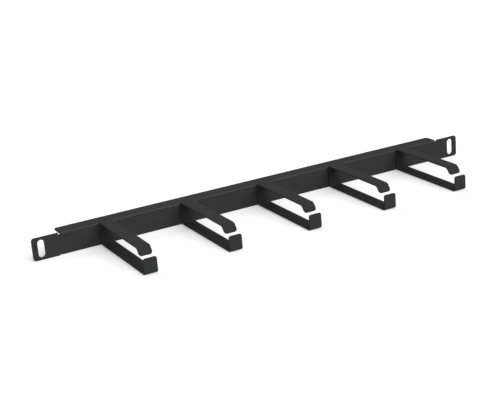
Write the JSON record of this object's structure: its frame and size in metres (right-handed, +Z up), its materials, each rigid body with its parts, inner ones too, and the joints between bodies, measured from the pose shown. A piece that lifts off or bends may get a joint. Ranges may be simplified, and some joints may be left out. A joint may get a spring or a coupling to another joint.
{
  "type": "horizontal cable manager",
  "caption": "Slim folded steel rack panel, half a unit high, with a row of open C-shaped brackets on its front that hold cables in a level run.",
  "frame": {"origin": "middle of the panel's rear face, the face that meets the rack's rails", "axes": "+X along the panel, -Y out of the rack towards the user, +Z up"},
  "size_m": [0.4826, 0.1155, 0.0234],
  "materials": {
    "powder_coat": "fine-textured matt black powder coat on mild steel"
  },
  "bodies": {
    "root": {"front_panel": "powder_coat", "cable_bracket_1": "powder_coat", "cable_bracket_2": "powder_coat", "cable_bracket_3": "powder_coat", "cable_bracket_4": "powder_coat", "cable_bracket_5": "powder_coat"}
  },
  "joints": []
}
